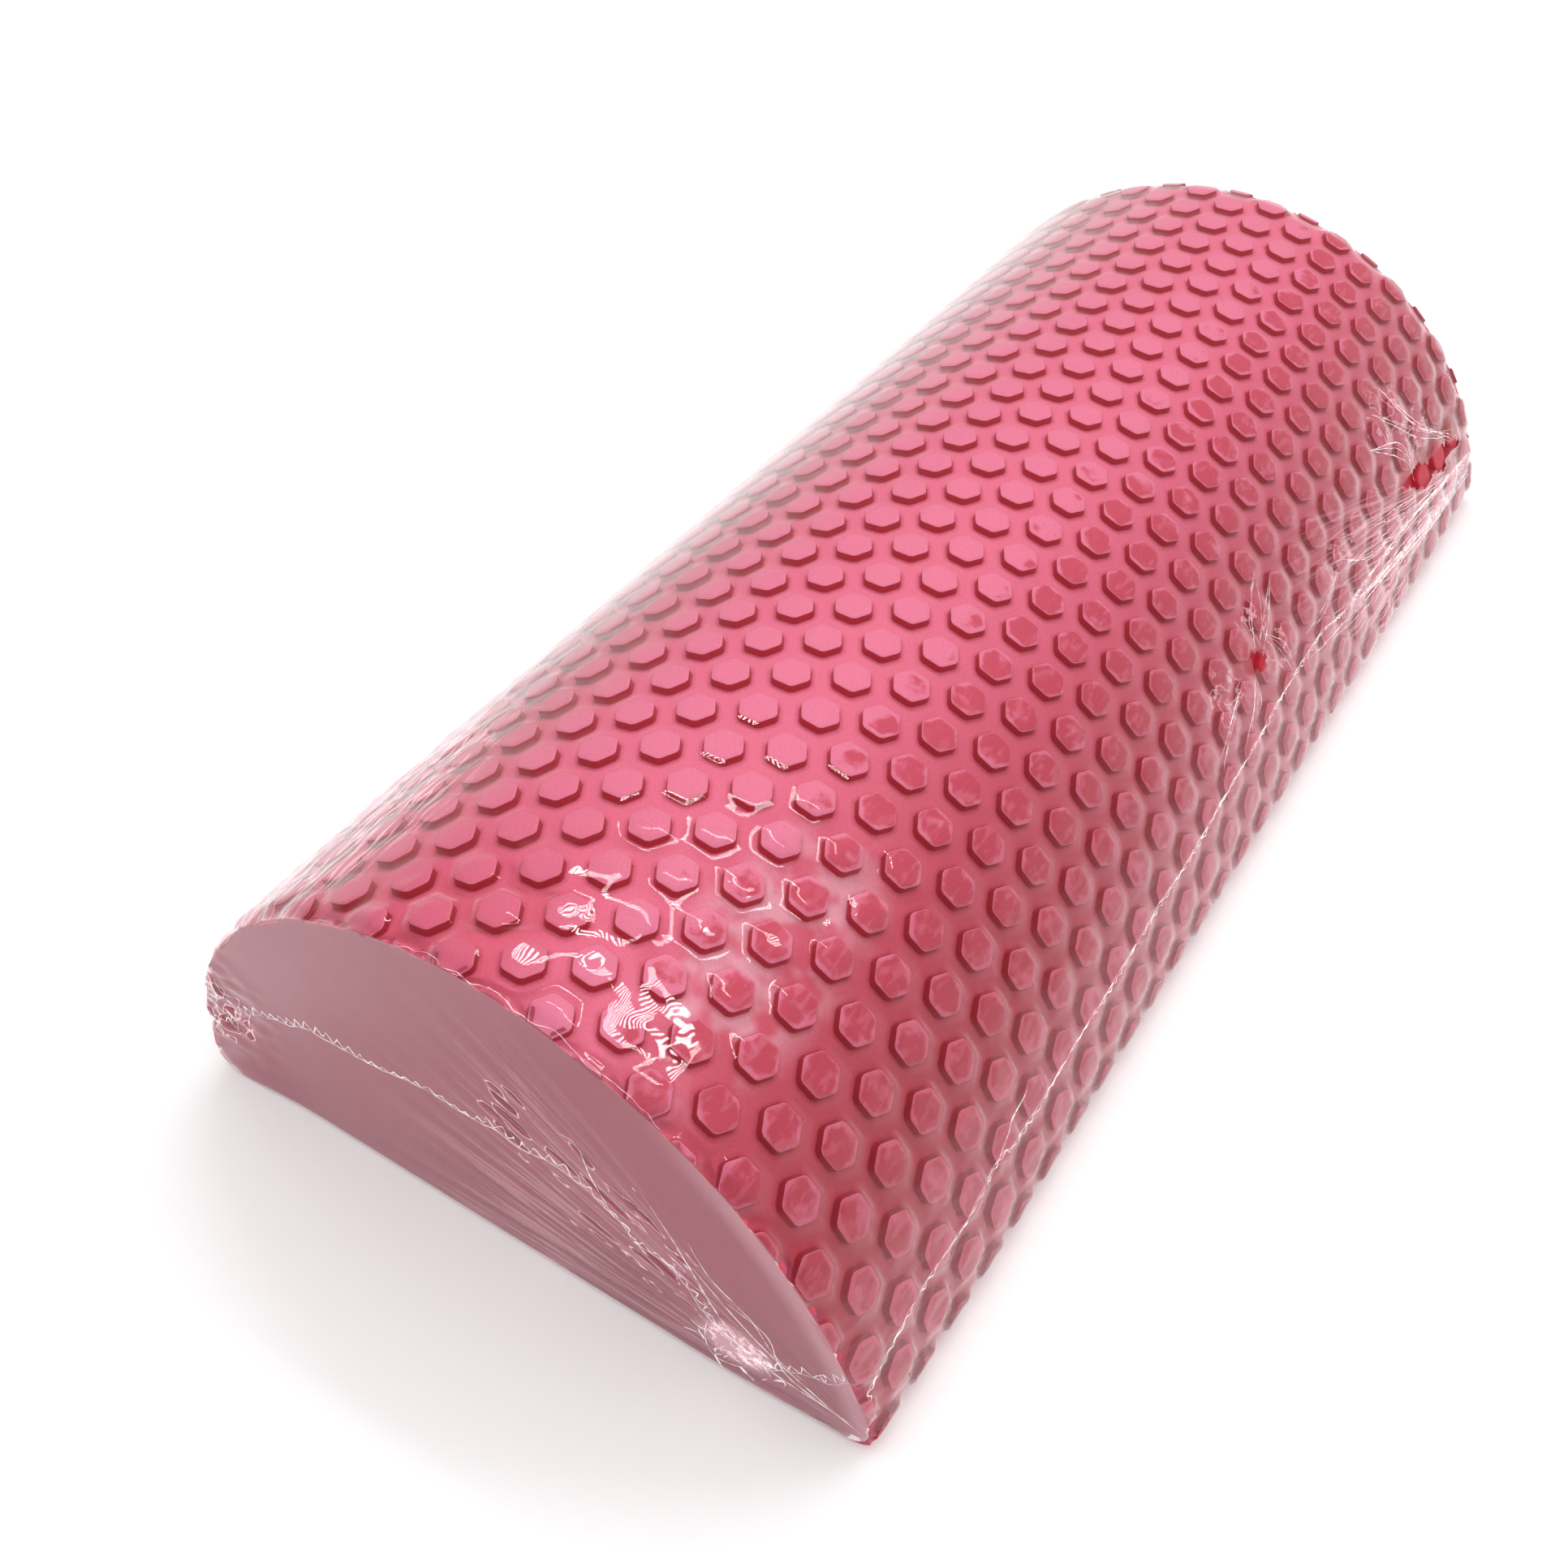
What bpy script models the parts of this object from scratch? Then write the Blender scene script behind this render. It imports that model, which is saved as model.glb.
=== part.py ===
"""Half foam roller wrapped in clear shrink film, in metres with +Z up.

The roller lies on its flat side. +Y runs along it, +X across it, and the
origin is under the film at the middle of the base. The foam is one moulded
block whose curved side carries rows of hexagonal pads with grooves between
them. The film is a thin closed skin round the block, open at a tear and at a
small vent hole.
"""

import math

import bmesh
import bpy
from mathutils import Vector

MM = 0.001

# Foam block: a little less than half of a full roller, sawn along its length.
FOAM_LENGTH = 300 * MM
FOAM_RADIUS = 75 * MM  # over the tops of the pads
BASE_ABOVE_AXIS = 6 * MM  # what the saw takes off the half
FOAM_EDGE_ROUND = 5 * MM  # the two long edges of the base

# Hexagonal pads, in columns along the roller, every second one half a step on.
PAD_FLATS = 6.7 * MM  # across the flats, which face the roller's ends
PAD_HEIGHT = 1.6 * MM  # from the bottom of the grooves
PAD_STEPS_ALONG = 27.56  # steps from pad to pad in the length
COLUMN_STEPS_ROUND = 25.46  # steps from column to column in half a turn
PATTERN_TURN = math.radians(1.1)  # the columns run slightly off the axis
PATTERN_ALONG = -6.3 * MM  # the middle pad, from the middle of the block
PATTERN_ROUND = -3.7 * MM  # the same, round the curve from the crest

# Shrink film, drawn thicker than the real 0.02 mm.
FILM_THICKNESS = 0.3 * MM
FILM_GAP = 0.3 * MM  # between the foam and the film
TEAR_LENGTH = 36 * MM
TEAR_WIDTH = 7 * MM
TEAR_FROM_END = 29 * MM  # its middle, from the far end
TEAR_HEIGHT = 26 * MM  # its middle, above the base of the foam
VENT_LENGTH = 5 * MM
VENT_WIDTH = 4 * MM
VENT_ALONG = 20 * MM  # past the middle of the roller
VENT_HEIGHT = 34 * MM  # above the base of the foam
CUT_DEPTH = 4 * MM  # how far a cutter reaches in and out of the film

# Outlines of the two openings, as shares of their length and width.
TEAR_OUTLINE_SHARES = (
    (-0.50, -0.10),
    (-0.20, -0.50),
    (0.10, -0.42),
    (0.30, -0.05),
    (0.50, 0.12),
    (0.42, 0.40),
    (0.05, 0.50),
    (-0.30, 0.36),
)
VENT_OUTLINE_SHARES = ((-0.5, -0.2), (0.1, -0.5), (0.5, 0.1), (0.2, 0.5), (-0.4, 0.4))

# Facets and tolerances.
SHEET_HALF_TURN = math.radians(100)  # the rolled sheet, to each side of the crest
EDGE_FACETS = 4  # in each rounded long edge
ARC_FACETS = 30  # in the film's curved side
CORNERS = 6
STRAIGHT_DOWN = math.radians(-90)
SMOOTH_BELOW = math.radians(30)  # edges flatter than this are shaded smooth
SAME_POINT = 0.01 * MM
ON_PLANE = 0.001 * MM

PAD_STEP = FOAM_LENGTH / PAD_STEPS_ALONG
COLUMN_STEP = math.pi * FOAM_RADIUS / COLUMN_STEPS_ROUND
FOAM_BASE = FILM_THICKNESS + FILM_GAP  # height of the foam's flat side
AXIS_HEIGHT = FOAM_BASE - BASE_ABOVE_AXIS


def clear_scene():
    for obj in list(bpy.data.objects):
        bpy.data.objects.remove(obj, do_unlink=True)


def material(name, color, roughness, alpha=1):
    made = bpy.data.materials.new(name)
    made.use_nodes = True
    inputs = made.node_tree.nodes["Principled BSDF"].inputs
    inputs["Base Color"].default_value = (*color, 1)
    inputs["Roughness"].default_value = roughness
    inputs["Metallic"].default_value = 0
    inputs["Alpha"].default_value = alpha
    return made


def object_from(bm, name, surface):
    """An object of the closed mesh, with its faces turned outwards."""
    bmesh.ops.recalc_face_normals(bm, faces=bm.faces[:])
    mesh = bpy.data.meshes.new(name)
    bm.to_mesh(mesh)
    bm.free()
    mesh.shade_smooth()
    mesh.set_sharp_from_angle(angle=SMOOTH_BELOW)
    mesh.materials.append(surface)
    obj = bpy.data.objects.new(name, mesh)
    bpy.context.scene.collection.objects.link(obj)
    return obj


def across_section(angle):
    """Unit vector square to the roller, by its angle from +X towards +Z."""
    return Vector((math.cos(angle), 0, math.sin(angle)))


# Section of the roller: an arc, a flat base and two rounded edges between them.
def edge_centre():
    """Centre of the round of the +X base edge, from the roller's axis."""
    reach = FOAM_RADIUS - FOAM_EDGE_ROUND
    up = BASE_ABOVE_AXIS + FOAM_EDGE_ROUND
    return Vector((math.sqrt(reach**2 - up**2), 0, up))


def edge_lift():
    """Angle at which the round of the +X edge runs into the arc."""
    centre = edge_centre()
    return math.atan2(centre.z, centre.x)


def edge_tangents(offset):
    """(angle, distance from the axis) of each flat in the round of the +X edge."""
    turn = (edge_lift() - STRAIGHT_DOWN) / EDGE_FACETS
    angles = [STRAIGHT_DOWN + turn * (facet + 0.5) for facet in range(EDGE_FACETS)]
    return [
        (angle, edge_centre().dot(across_section(angle)) + FOAM_EDGE_ROUND + offset)
        for angle in angles
    ]


def section_tangents(offset):
    """The same for the whole section, anticlockwise from the base."""
    lift = edge_lift()
    turn = (math.pi - 2 * lift) / ARC_FACETS
    edge = edge_tangents(offset)
    return [
        (STRAIGHT_DOWN, offset - BASE_ABOVE_AXIS),
        *edge,
        *((lift + turn * (facet + 0.5), FOAM_RADIUS + offset) for facet in range(ARC_FACETS)),
        *((math.pi - angle, distance) for angle, distance in reversed(edge)),
    ]


def section_points(offset):
    """Where neighbouring flats of the section meet."""
    flats = section_tangents(offset)
    points = []
    for index, (angle, distance) in enumerate(flats):
        next_angle, next_distance = flats[(index + 1) % len(flats)]
        spread = math.sin(next_angle - angle)
        x = (distance * math.sin(next_angle) - next_distance * math.sin(angle)) / spread
        z = (next_distance * math.cos(angle) - distance * math.cos(next_angle)) / spread
        points.append(Vector((x, 0, AXIS_HEIGHT + z)))
    return points


# Pads, laid out on a flat sheet: x round the curve, y along the roller.
def turned(x, y, angle):
    return (
        x * math.cos(angle) - y * math.sin(angle),
        x * math.sin(angle) + y * math.cos(angle),
    )


def pad_centre(column, step):
    along = step + (column % 2) / 2
    x, y = turned(column * COLUMN_STEP, along * PAD_STEP, PATTERN_TURN)
    return x + PATTERN_ROUND, y + PATTERN_ALONG


def pad_corners():
    """Corners of a pad's top from its centre; two of them point round the curve."""
    radius = PAD_FLATS / math.sqrt(3)
    turn = math.tau / CORNERS
    return [turned(radius, 0, PATTERN_TURN + turn * n) for n in range(CORNERS)]


def groove_corners():
    """Where three grooves meet round a pad, from its centre."""
    third = COLUMN_STEP / 3
    half = PAD_STEP / 2
    corners = (
        (2 * third, 0),
        (third, half),
        (-third, half),
        (-2 * third, 0),
        (-third, -half),
        (third, -half),
    )
    return [turned(x, y, PATTERN_TURN) for x, y in corners]


def add_pad(bm, x, y, groove_vertex):
    """One flat top, and six sides that fall to the grooves it shares."""
    top = [bm.verts.new((x + dx, y + dy, FOAM_RADIUS)) for dx, dy in pad_corners()]
    foot = [groove_vertex(x + dx, y + dy) for dx, dy in groove_corners()]
    bm.faces.new(top)
    for corner in range(CORNERS):
        after = (corner + 1) % CORNERS
        bm.faces.new((foot[corner], foot[after], top[after], top[corner]))


def trim(bm, place, outward):
    """Cut away what lies beyond a plane, and give back the cut's edges."""
    cut = bmesh.ops.bisect_plane(
        bm,
        geom=bm.verts[:] + bm.edges[:] + bm.faces[:],
        dist=ON_PLANE,
        plane_co=place,
        plane_no=outward,
        clear_outer=True,
    )
    return [item for item in cut["geom_cut"] if isinstance(item, bmesh.types.BMEdge)]


def padded_sheet(half_width, half_length):
    """The curved side laid flat, with z as the distance from the roller's axis."""
    bm = bmesh.new()
    shared = {}

    def groove_vertex(x, y):
        key = (round(x / SAME_POINT), round(y / SAME_POINT))
        if key not in shared:
            shared[key] = bm.verts.new((x, y, FOAM_RADIUS - PAD_HEIGHT))
        return shared[key]

    columns = math.ceil(half_width / COLUMN_STEP) + 2
    steps = math.ceil(half_length / PAD_STEP) + 2
    for column in range(-columns, columns + 1):
        for step in range(-steps, steps + 1):
            add_pad(bm, *pad_centre(column, step), groove_vertex)
    for side in (-1, 1):
        trim(bm, (side * half_width, 0, 0), (side, 0, 0))
        trim(bm, (0, side * half_length, 0), (0, side, 0))
    return bm


def sheet_edge(bm, axis, value):
    """The sheet's points along one of its edges, in order."""
    found = [
        vert
        for vert in bm.verts
        if vert.is_boundary and abs(vert.co[axis] - value) < SAME_POINT
    ]
    return sorted(found, key=lambda vert: vert.co[1 - axis])


def roll_up(bm):
    """Bend the sheet round the roller's axis."""
    for vert in bm.verts:
        round_curve, along, radius = vert.co
        bent = across_section(math.pi / 2 - round_curve / FOAM_RADIUS) * radius
        vert.co = bent + Vector((0, along, AXIS_HEIGHT))


def saw(bm, angle, distance):
    """Cut the closed block by a plane this far from the axis, and close it again."""
    outward = across_section(angle)
    place = outward * distance + Vector((0, 0, AXIS_HEIGHT))
    bmesh.ops.holes_fill(bm, edges=trim(bm, place, outward), sides=0)


def foam_body(surface):
    """The padded sheet, rolled up, closed to the axis and sawn to its section."""
    half_length = FOAM_LENGTH / 2
    half_width = SHEET_HALF_TURN * FOAM_RADIUS
    bm = padded_sheet(half_width, half_length)
    front, back = (sheet_edge(bm, 1, side * half_length) for side in (-1, 1))
    left, right = (sheet_edge(bm, 0, side * half_width) for side in (-1, 1))
    roll_up(bm)
    axis_front, axis_back = (
        bm.verts.new((0, side * half_length, AXIS_HEIGHT)) for side in (-1, 1)
    )
    bm.faces.new([axis_front, *front])
    bm.faces.new([axis_back, *back])
    bm.faces.new([axis_back, axis_front, *left])
    bm.faces.new([axis_back, axis_front, *right])
    bmesh.ops.recalc_face_normals(bm, faces=bm.faces[:])
    saw(bm, STRAIGHT_DOWN, -BASE_ABOVE_AXIS)
    for angle, distance in edge_tangents(0):
        saw(bm, angle, distance)
        saw(bm, math.pi - angle, distance)
    return object_from(bm, "foam_body", surface)


def prism(name, surface, first_ring, second_ring):
    """A closed block between two rings of points."""
    bm = bmesh.new()
    near = [bm.verts.new(point) for point in first_ring]
    far = [bm.verts.new(point) for point in second_ring]
    bm.faces.new(near)
    bm.faces.new(far)
    for index, vert in enumerate(near):
        after = (index + 1) % len(near)
        bm.faces.new((vert, far[index], far[after], near[after]))
    return object_from(bm, name, surface)


def wrapped_block(name, surface, offset):
    """The foam's outer shape, larger all round by offset."""
    end = Vector((0, FOAM_LENGTH / 2 + offset, 0))
    points = section_points(offset)
    near = [point - end for point in points]
    far = [point + end for point in points]
    return prism(name, surface, near, far)


def opening_cutter(name, surface, shares, length, width, along, height):
    """A prism through the film on its +X side, square to the curve there."""
    radius = FOAM_RADIUS + FILM_GAP
    angle = math.asin((BASE_ABOVE_AXIS + height) / radius)
    outward = across_section(angle)
    down = across_section(angle + STRAIGHT_DOWN)
    middle = outward * radius + Vector((0, along, AXIS_HEIGHT))
    ring = [
        middle + Vector((0, length * share_along, 0)) + down * (width * share_down)
        for share_along, share_down in shares
    ]
    inner = [point - outward * CUT_DEPTH for point in ring]
    outer = [point + outward * CUT_DEPTH for point in ring]
    return prism(name, surface, inner, outer)


def cut_with(obj, cutter):
    cutter.hide_render = True
    cutter.display_type = "WIRE"
    cut = obj.modifiers.new(cutter.name, "BOOLEAN")
    cut.operation = "DIFFERENCE"
    cut.solver = "EXACT"
    cut.object = cutter


def shrink_film(surface):
    """A thin skin round the block, opened by the tear and the vent hole."""
    film = wrapped_block("shrink_film", surface, FILM_GAP + FILM_THICKNESS)
    tear = opening_cutter(
        "film_tear",
        surface,
        TEAR_OUTLINE_SHARES,
        TEAR_LENGTH,
        TEAR_WIDTH,
        FOAM_LENGTH / 2 - TEAR_FROM_END,
        TEAR_HEIGHT,
    )
    vent = opening_cutter(
        "film_vent",
        surface,
        VENT_OUTLINE_SHARES,
        VENT_LENGTH,
        VENT_WIDTH,
        VENT_ALONG,
        VENT_HEIGHT,
    )
    cut_with(film, wrapped_block("film_inside", surface, FILM_GAP))
    cut_with(film, tear)
    cut_with(film, vent)
    return film


def main():
    clear_scene()
    foam_body(material("foam", (0.60, 0.13, 0.20), 0.6))
    shrink_film(material("film", (0.95, 0.95, 0.95), 0.1, alpha=0.3))


main()
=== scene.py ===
"""Looks of the half foam roller: moulded foam, wrinkled clear film, pale studio."""

import math
import random

import bmesh
import bpy
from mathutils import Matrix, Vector, noise


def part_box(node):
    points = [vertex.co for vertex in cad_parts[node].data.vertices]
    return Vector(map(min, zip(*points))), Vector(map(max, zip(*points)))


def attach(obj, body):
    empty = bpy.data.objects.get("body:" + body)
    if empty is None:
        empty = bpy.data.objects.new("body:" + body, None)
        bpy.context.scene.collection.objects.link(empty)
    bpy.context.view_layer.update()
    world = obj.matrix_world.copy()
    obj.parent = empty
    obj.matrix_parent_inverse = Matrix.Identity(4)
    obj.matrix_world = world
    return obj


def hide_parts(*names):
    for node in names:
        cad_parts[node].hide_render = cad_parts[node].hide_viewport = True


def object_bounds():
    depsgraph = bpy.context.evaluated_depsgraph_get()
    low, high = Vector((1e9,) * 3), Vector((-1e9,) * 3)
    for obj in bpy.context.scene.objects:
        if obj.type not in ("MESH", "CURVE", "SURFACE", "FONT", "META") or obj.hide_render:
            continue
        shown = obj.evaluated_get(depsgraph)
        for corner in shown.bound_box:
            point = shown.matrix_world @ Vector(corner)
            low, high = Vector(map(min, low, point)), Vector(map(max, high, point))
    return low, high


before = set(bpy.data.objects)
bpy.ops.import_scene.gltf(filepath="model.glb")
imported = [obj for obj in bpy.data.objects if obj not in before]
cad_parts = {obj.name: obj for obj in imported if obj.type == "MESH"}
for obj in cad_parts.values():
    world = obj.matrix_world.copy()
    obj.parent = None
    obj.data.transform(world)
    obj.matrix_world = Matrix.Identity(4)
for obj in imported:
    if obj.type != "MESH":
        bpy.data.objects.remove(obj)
CAD_BOX = [list(map(float, corner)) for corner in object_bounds()]

MM = 0.001

# Camera, fitted to the photograph.
CAMERA_PLACE = (0.14503, -0.27014, 0.27233)
CAMERA_TURN = (49.575, 2.026, 32.611)  # degrees about X, Y and Z
CAMERA_LENS = 41.83  # mm on a 36 mm sensor
CAMERA_SHIFT = (-0.0024, -0.053)

# Section of the foam, as in the frame: an arc on a flat base with rounded edges.
foam_low, foam_high = (Vector(corner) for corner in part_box("foam_body"))
FOAM_LENGTH = foam_high.y - foam_low.y
HALF_LENGTH = FOAM_LENGTH / 2
FOAM_RADIUS = 75 * MM
BASE_ABOVE_AXIS = 6 * MM
FOAM_EDGE_ROUND = 5 * MM
FOAM_BASE = foam_low.z
AXIS_HEIGHT = FOAM_BASE - BASE_ABOVE_AXIS
EDGE_FACETS = 8
END_RINGS = 8

# How the block really lies: ends sawn a little askew, lower corners drawn in by the film.
FRONT_SKEW = 0.026
BACK_STRETCH = 1.4 * MM
CORNER_DRAW = 3.0 * MM
RIGHT_CORNER_DRAW = 0.5 * MM
CORNER_REACH = 38 * MM
CORNER_HEIGHT = 30 * MM

# Pads.
PAD_FLATS = 6.7 * MM
PAD_HEIGHT = 1.6 * MM
PAD_STEP = FOAM_LENGTH / 27.56
COLUMN_STEP = math.pi * FOAM_RADIUS / 25.46
PATTERN_TURN = math.radians(1.1)
PATTERN_ALONG = -6.3 * MM
PATTERN_ROUND = -3.7 * MM
SHEET_HALF_TURN = math.radians(100)
CORNERS = 6
CELL_AWAY = 2.0 * MM  # from a pad's outline to the middle of the valley

# Film.
FILM_LIFT = 0.12 * MM  # over the tops of the pads
FILM_SAG = 0.14 * MM  # between the pads where it is taut
SIDE_SAG = 0.55 * MM  # further, low on the right side
RIM_SAG = 0.6 * MM  # between the pads at the ends, where it turns the corner
RIM_SQUEEZE = 0.8 * MM  # how far it pulls the foam's rim in
RIM_FLATTEN = 0.55  # share of the pads' height that it takes there
RIM_REACH = 5 * MM
LOOSE_SAG = 0.75 * MM  # between the pads where it is loose
LOOSE_LIFT = 0.4 * MM  # over the tops of the pads where it is loose
FINE_STEP = 0.6 * MM  # mesh size where it is loose
PLAIN_STEP = 1.25 * MM  # mesh size elsewhere
FILM_BASE_STEP = 6 * MM
LOOSE_LEFT = -22 * MM
LOOSE_RIGHT = 54 * MM
LOOSE_BACK = -78 * MM
END_LIFT = 0.3 * MM
FRONT_RINGS = 40
BACK_RINGS = 10
LINE_SIDES = 5

# Openings in the film: degrees from the crest and mm along.
TEAR = (
    (62.9, 103.8),
    (62.7, 114.1),
    (64.6, 119.9),
    (64.2, 125.2),
    (67.2, 138.3),
    (68.4, 140.6),
    (68.1, 134.3),
    (69.2, 125.8),
    (66.9, 119.5),
    (67.3, 114.3),
    (65.3, 108.9),
)
VENT = (
    (56.0, 18.0),
    (56.6, 21.4),
    (58.4, 22.0),
    (59.4, 20.4),
    (58.9, 17.6),
    (57.2, 17.0),
)

# Weld of the film, on the right side in degrees and mm along, on the front in mm
# across and mm above the floor.
SIDE_WELD = (
    (75.5, -149),
    (73.0, -147),
    (70.8, -131),
    (71.0, -117),
    (69.6, -105),
    (70.6, -100),
    (70.3, -87),
    (69.8, -74),
    (69.6, -63),
    (68.8, -43),
    (68.6, -23),
    (67.9, -11),
    (66.8, 12),
    (66.0, 21),
    (65.8, 32),
    (65.6, 46),
    (66.9, 56),
    (67.6, 64),
    (69.0, 102),
    (73.4, 146),
)
WELD_FORK = ((69.6, -105), (68.4, -101), (67.6, -99), (66.8, -93))
FRONT_WELD = (
    (-71.0, 13.1),
    (-64.8, 16.9),
    (-56.7, 22.9),
    (-52, 25),
    (-46.5, 27),
    (-38.5, 29.5),
    (-26, 30),
    (-13, 32.4),
    (-3, 32),
    (3, 33),
    (7.5, 31.6),
    (15, 32.7),
    (19, 31.7),
    (23, 29.8),
    (28, 27),
    (30, 23.8),
    (36, 23),
    (40, 19.4),
    (44, 14),
    (54, 9),
    (57, 11),
    (63, 14.5),
    (66, 15.3),
    (70, 20),
)

# White folds and leaf-shaped touches, in the same terms.
FRONT_FOLDS = (
    ((17.5, 42.7), (20.9, 42.0), (22.8, 35.1), (26.5, 27.1)),
    ((33.2, 38.7), (37.8, 31.6), (47.1, 14.6), (54.4, 9.2), (70.6, 6.4)),
    ((41.0, 33.0), (44.9, 26.4), (52.0, 21.2), (56.2, 14.4), (62.0, 11.4)),
    ((47.6, 22.0), (54.9, 19.1), (58.2, 10.4), (70.6, 5.6)),
    ((40.7, 27.0), (52.0, 16.5), (63.5, 9.0), (71.5, 5.0)),
    ((44.3, 18.0), (42.3, 8.0), (44.0, 3.4), (48.8, 4.6), (50.5, 6.8)),
    ((-64.6, 29.7), (-63.8, 24.7), (-58.9, 25.5), (-62.1, 20.2)),
    ((-69.6, 22.3), (-66.6, 20.8), (-69.0, 17.1)),
    ((-56.5, 23.7), (-58.6, 19.4), (-58.4, 15.7)),
    ((-55.7, 45.4), (-62.3, 36.4), (-67.2, 28.2), (-71.0, 19.1)),
)
SIDE_FOLDS = (
    ((73.4, 145.7), (69.0, 102.7), (67.4, 60.3)),
    ((73.4, 145.7), (64.7, 83.6), (60.8, 62.0)),
    ((74.2, 145.4), (71.4, 89.5), (66.0, 46.0)),
    ((74.9, 145.2), (71.3, 78.3), (66.5, 36.0)),
    ((76.0, 143.6), (72.5, 100.0), (68.5, 58.0)),
    ((75.0, 145.0), (67.4, 104.0), (62.0, 84.0)),
    ((76.5, 144.0), (74.0, 110.0), (71.0, 76.0)),
    ((77.5, 144.0), (76.0, 118.0), (74.0, 90.0)),
    ((46.4, 113.2), (56.4, 120.5), (66.7, 135.5)),
    ((47.9, 104.3), (58.0, 120.3), (67.0, 138.6)),
    ((52.0, 96.0), (57.0, 108.0), (63.0, 112.0)),
)
VENT_FOLDS = (
    ((47.7, 33.6), (51.5, 25.2), (56.0, 20.3)),
    ((50.6, 37.0), (53.8, 28.0), (56.6, 21.5)),
    ((58.7, 16.3), (62.0, 12.0), (64.8, 7.8)),
    ((58.1, 9.3), (61.3, 1.0), (64.0, -6.0)),
    ((55.8, 25.7), (60.9, 30.0), (65.6, 31.0)),
    ((60.8, 62.0), (62.6, 52.0), (63.0, 40.0)),
)
# Crumpled patches: degrees from the crest, mm along, reach round the curve and along in mm.
SIDE_WEBS = (
    (50.5, 110, 9, 14),
    (57.5, 118, 8, 14),
    (60.0, 66, 6, 14),
    (53.0, 24, 6, 8),
    (60.0, 28, 7, 8),
    (57.0, 4, 8, 10),
)
# A white line along the front rim: painted highlight where the film turns the corner.
RIM_HIGHLIGHT_LINE = ((-9, -149.9), (-4, -149.2), (1, -150.0), (6, -149.3), (11, -150.0), (16, -149.2), (21, -150.0), (26, -149.4), (31, -150.0))
FRONT_KNOT = (49.5, 9.5)
FRONT_KNOT_REACH = (8.0, 5.0)
LEFT_KNOT = (-66.0, 21.0)
LEFT_KNOT_REACH = (5.0, 7.0)
BACK_CORNER = (73.0, 145.0)
LOW_CORNER = (71.0, 4.0)


def link(obj):
    bpy.context.scene.collection.objects.link(obj)
    return obj


def smooth(value, low, high):
    """0 below low, 1 above high, and an even rise between."""
    share = min(1.0, max(0.0, (value - low) / (high - low)))
    return share * share * (3 - 2 * share)


def settle(point):
    """Where a point of the ideal block lies on the real one."""
    x, y, z = point
    front = smooth(-y, 0.45 * HALF_LENGTH, HALF_LENGTH)
    back = smooth(y, 0.6 * HALF_LENGTH, HALF_LENGTH)
    near_end = smooth(abs(y), HALF_LENGTH - CORNER_REACH, HALF_LENGTH)
    low = 1 - smooth(z, 0, CORNER_HEIGHT)
    side = smooth(abs(x), 0.6 * FOAM_RADIUS, 0.9 * FOAM_RADIUS)
    y += front * FRONT_SKEW * (-x) * (1 - 0.5 * low * side) + back * BACK_STRETCH
    draw = CORNER_DRAW if x < 0 else RIGHT_CORNER_DRAW
    x -= math.copysign(draw * near_end * low * side, x)
    return Vector((x, y, z))


def settle_mesh(bm):
    for vert in bm.verts:
        vert.co = settle(vert.co)


# Section: points along its outline, by length from the middle of the base,
# anticlockwise as seen from the front.
def edge_centre():
    reach = FOAM_RADIUS - FOAM_EDGE_ROUND
    up = BASE_ABOVE_AXIS + FOAM_EDGE_ROUND
    return math.sqrt(reach**2 - up**2), up


EDGE_X, EDGE_UP = edge_centre()
EDGE_LIFT = math.atan2(EDGE_UP, EDGE_X)
EDGE_TURN = EDGE_LIFT + math.pi / 2
ARC_TURN = math.pi - 2 * EDGE_LIFT
EDGE_LENGTH = FOAM_EDGE_ROUND * EDGE_TURN
ARC_LENGTH = FOAM_RADIUS * ARC_TURN
OUTLINE_LENGTH = 2 * EDGE_X + 2 * EDGE_LENGTH + ARC_LENGTH
CREST_LENGTH = OUTLINE_LENGTH / 2


def outline(length, offset=0.0):
    """(x, height above the axis) on the section's outline, or outside it."""
    if length > CREST_LENGTH:
        x, up = outline(OUTLINE_LENGTH - length, offset)
        return -x, up
    if length < EDGE_X:
        return length, BASE_ABOVE_AXIS - offset
    length -= EDGE_X
    if length < EDGE_LENGTH:
        angle = -math.pi / 2 + length / FOAM_EDGE_ROUND
        reach = FOAM_EDGE_ROUND + offset
        return EDGE_X + reach * math.cos(angle), EDGE_UP + reach * math.sin(angle)
    angle = EDGE_LIFT + (length - EDGE_LENGTH) / FOAM_RADIUS
    reach = FOAM_RADIUS + offset
    return reach * math.cos(angle), reach * math.sin(angle)


def spread(start, end, step):
    """Even places from start up to end, about a step apart."""
    count = max(1, round((end - start) / step))
    return [start + (end - start) * n / count for n in range(count)]


def outline_steps():
    """Lengths along the outline, coarse on the base and fine where the film is loose."""
    return (
        spread(0, EDGE_X, FILM_BASE_STEP)
        + spread(EDGE_X, CREST_LENGTH - LOOSE_RIGHT, PLAIN_STEP)
        + spread(CREST_LENGTH - LOOSE_RIGHT, CREST_LENGTH - LOOSE_LEFT, FINE_STEP)
        + spread(CREST_LENGTH - LOOSE_LEFT, OUTLINE_LENGTH - EDGE_X, PLAIN_STEP)
        + spread(OUTLINE_LENGTH - EDGE_X, OUTLINE_LENGTH, FILM_BASE_STEP)
    )


def film_rows():
    front = spread(-HALF_LENGTH, LOOSE_BACK, FINE_STEP)
    return front + spread(LOOSE_BACK, HALF_LENGTH, PLAIN_STEP) + [HALF_LENGTH]


# Pads on the flat sheet: x round the curve, y along the roller.
def turned(x, y, angle):
    return (
        x * math.cos(angle) - y * math.sin(angle),
        x * math.sin(angle) + y * math.cos(angle),
    )


def pad_centre(column, step):
    along = step + (column % 2) / 2
    x, y = turned(column * COLUMN_STEP, along * PAD_STEP, PATTERN_TURN)
    return x + PATTERN_ROUND, y + PATTERN_ALONG


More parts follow.
